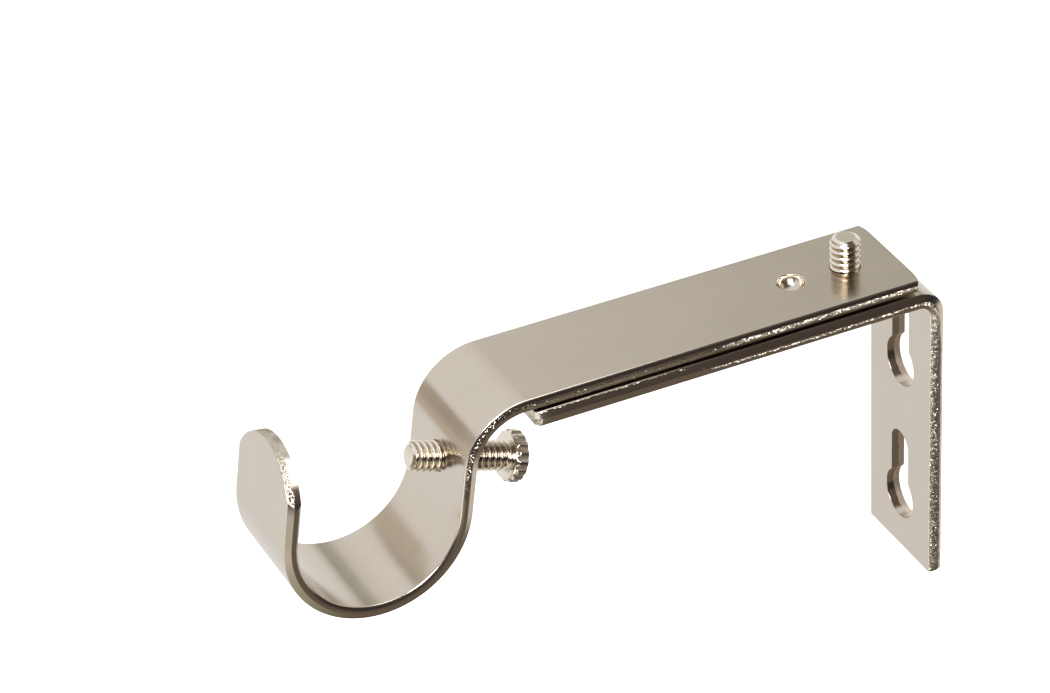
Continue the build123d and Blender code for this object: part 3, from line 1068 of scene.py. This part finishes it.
def bright_nickel(grain_group):
    """Bright nickel plate of the thumb screws: painted shade in the thread's roots, duller in the flutes.
    """
    material, tree, shader = new_material("bright_nickel", {"Metallic": 1.0})
    place = set_node(tree, "ShaderNodeTexCoord").outputs["Object"]
    plating = place_plating(tree, grain_group, place, grain_scale=3000.0, drift_scale=900.0)
    shade = ramp_step(tree, plating["Spread"], *shade_spread)
    plated = mix_colour(tree, shade, *bright_shades)
    # Painted shade: the thread's roots are darkened brown by the groove's depth, where shade falls between
    # the crests
    in_root_shade = ramp_step(tree, mesh_mark(tree, "hollow", "Fac"), *root_shade_onset)
    tree.links.new(mix_colour(tree, in_root_shade, plated, thread_root_shade_colour), shader.inputs["Base Color"])
    face_gloss = math_step(tree, "MULTIPLY_ADD", plating["Spread"], gloss_spread, bright_roughness)
    in_flute = ramp_step(tree, mesh_mark(tree, "fluted", "Fac"), *flute_onset)
    gloss = math_step(tree, "MULTIPLY_ADD", in_flute, flute_dulling, face_gloss)
    tree.links.new(gloss, shader.inputs["Roughness"])
    tree.links.new(plating_relief(tree, plating, strength=0.05), shader.inputs["Normal"])
    return material


def add_piece(name, mesh, body, node, material=None):
    """A finished piece that rides on its body and stands for its node."""
    if material is not None:
        mesh.materials.append(material)
    piece = bpy.data.objects.new(name, mesh)
    bpy.context.scene.collection.objects.link(piece)
    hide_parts(node)
    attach(piece, body)


def dress_bracket():
    """The two strips and the two thumb screws."""
    grain = plating_grain_group()
    satin = satin_nickel(grain)
    bright = bright_nickel(grain)
    add_piece("wall_strip", wall_strip_mesh(), "wall_bracket", "wall_bracket", satin)
    add_piece("hook_strip", hook_strip_mesh(), "hook_arm", "hook_arm", satin)
    tree = screw_forming_tree()
    adjusting = adjusting_screw_mesh(tree, bright)
    add_piece("adjusting_thumb_screw", adjusting, "adjusting_screw", "adjusting_screw")
    rod = rod_screw_mesh(tree, bright)
    add_piece("rod_thumb_screw", rod, "rod_screw", "rod_screw")


def set_camera():
    """The camera at the photograph's place, tilt and field of view."""
    data = bpy.data.cameras.new("photo_camera")
    data.lens = camera_lens
    data.sensor_width = camera_sensor
    data.clip_end = camera_far
    camera = bpy.data.objects.new("photo_camera", data)
    bpy.context.scene.collection.objects.link(camera)
    azimuth = math.radians(camera_azimuth)
    elevation = math.radians(camera_elevation)
    back = Vector((math.sin(azimuth) * math.cos(elevation), -math.cos(azimuth) * math.cos(elevation),
                   math.sin(elevation)))
    level = Vector((math.cos(azimuth), math.sin(azimuth), 0.0))
    roll = math.radians(camera_roll)
    right = level * math.cos(roll) + back.cross(level) * math.sin(roll)
    turned = Matrix((right, back.cross(right), back)).transposed().to_4x4()
    camera.matrix_world = Matrix.Translation(camera_place) @ turned
    bpy.context.scene.camera = camera


def set_floor():
    """A pale light table below the bracket."""
    material = new_material("light_table", {
        "Base Color": (0.8, 0.8, 0.8, 1.0),
        "Roughness": 0.7,
        "Emission Color": white,
        "Emission Strength": 1.0,
    })[0]
    height = cad_box[0].z - floor_drop
    half = floor_span / 2
    corners = [(-half, -half, height), (half, -half, height), (half, half, height), (-half, half, height)]
    mesh = bpy.data.meshes.new("floor")
    mesh.from_pydata(corners, [], [(0, 1, 2, 3)])
    mesh.materials.append(material)
    floor = bpy.data.objects.new("floor", mesh)
    floor.visible_glossy = False
    bpy.context.scene.collection.objects.link(floor)


def set_softbox(name, target, direction, distance, size, radiance):
    """A square softbox that faces a point of the bracket."""
    data = bpy.data.lights.new(name, "AREA")
    data.size = size
    data.energy = radiance * math.pi * size * size
    softbox = bpy.data.objects.new(name, data)
    facing = Vector(direction).normalized()
    softbox.location = target + facing * distance
    softbox.rotation_euler = facing.to_track_quat("Z", "Y").to_euler()
    softbox.visible_camera = False
    bpy.context.scene.collection.objects.link(softbox)


def set_flag(name, centre, size, shade):
    """A small brown card beside the hook, out of the camera's sight, that shades its mirror-like curves."""
    material = new_material(name, {
        "Base Color": (0.02, 0.02, 0.02, 1.0),
        "Specular IOR Level": 0.0,
        "Emission Color": (*shade, 1.0),
        "Emission Strength": 1.0,
    })[0]
    low = [(middle - span / 2) * mm for middle, span in zip(centre, size)]
    high = [(middle + span / 2) * mm for middle, span in zip(centre, size)]
    corners = [(x, y, z) for x in (low[0], high[0]) for y in (low[1], high[1]) for z in (low[2], high[2])]
    faces = [(0, 1, 3, 2), (4, 6, 7, 5), (0, 4, 5, 1), (2, 3, 7, 6), (0, 2, 6, 4), (1, 5, 7, 3)]
    mesh = bpy.data.meshes.new(name)
    mesh.from_pydata(corners, [], faces)
    mesh.materials.append(material)
    flag = bpy.data.objects.new(name, mesh)
    flag.visible_camera = False
    flag.visible_shadow = False
    bpy.context.scene.collection.objects.link(flag)


def glow(tree, way, direction, inner, outer):
    """A round patch about a direction, full within its inner angle and gone at its outer one."""
    node = set_node(tree, "ShaderNodeVectorMath", operation="DOT_PRODUCT")
    tree.links.new(way, node.inputs[0])
    node.inputs[1].default_value = Vector(direction).normalized()
    nearness = node.outputs["Value"]
    return ramp_step(tree, nearness, math.cos(math.radians(outer)), math.cos(math.radians(inner)))


def sweep_colour(tree, x, z):
    """The white sweep, with a grey belt above the bracket and a little grey below it."""
    lit = math_step(tree, "MULTIPLY", *(ramp_step(tree, x, *tone) for tone in sweep_tones))
    for tone in cup_band_tones:
        lit = math_step(tree, "ADD", lit, ramp_step(tree, x, *tone))
    belt = math_step(tree, "MULTIPLY", *(ramp_step(tree, z, *tone) for tone in belt_tones))
    high = math_step(tree, "MULTIPLY", math_step(tree, "SUBTRACT", 1.0, lit), belt)
    grey = math_step(tree, "ADD", high, ramp_step(tree, z, *low_grey_tone))
    return mix_colour(tree, grey, white, sweep_grey)


def room_colour(tree, way, x, z):
    """The unlit room and the table top, with the glows of what is lit there."""
    table = mix_colour(tree, ramp_step(tree, x, *table_sides), *table_shades)
    unlit = mix_colour(tree, ramp_step(tree, z, *room_heights), *room_shades)
    room = mix_colour(tree, ramp_step(tree, z, *table_edge), unlit, table)
    for direction, inner, outer, colour in room_glows:
        room = mix_colour(tree, glow(tree, way, direction, inner, outer), room, colour)
    return room


def set_surround():
    """A white sweep behind the bracket, an unlit room before it and a brown table top below that."""
    world = bpy.data.worlds.new("studio")
    world.use_nodes = True
    bpy.context.scene.world = world
    tree = world.node_tree
    way = set_node(tree, "ShaderNodeTexCoord").outputs["Generated"]
    parts = set_node(tree, "ShaderNodeSeparateXYZ")
    tree.links.new(way, parts.inputs[0])
    x, y, z = parts.outputs
    beside = math_step(tree, "SUBTRACT", math_step(tree, "MULTIPLY", x, sweep_turn), y)
    behind = math_step(tree, "SUBTRACT", beside, ramp_step(tree, z, *sweep_foot))
    around = mix_colour(tree, ramp_step(tree, behind, *sweep_edge), room_colour(tree, way, x, z),
                        sweep_colour(tree, x, z))
    seen = set_node(tree, "ShaderNodeLightPath").outputs["Is Camera Ray"]
    colour = mix_colour(tree, seen, around, white)
    tree.links.new(colour, tree.nodes["Background"].inputs["Color"])


dress_bracket()
set_camera()
set_floor()
set_softbox("front_softbox", (cad_box[0] + cad_box[1]) / 2,
            direction=(0.36, 0.74, 0.56), distance=0.9, size=0.45, radiance=11.0)
set_softbox("lip_softbox", Vector((110.0, 6.0, 33.0)) * mm,
            direction=(-0.47, 0.33, 0.82), distance=0.1, size=0.075, radiance=3.0)
set_flag("upper_flag", centre=(102.0, -26.0, 31.25), size=(3.0, 20.0, 10.5), shade=(0.50, 0.44, 0.365))
set_flag("lower_flag", centre=(102.0, -26.0, 22.25), size=(3.0, 20.0, 7.5), shade=(0.65, 0.58, 0.485))
set_surround()
bpy.context.scene.view_settings.view_transform = "Standard"
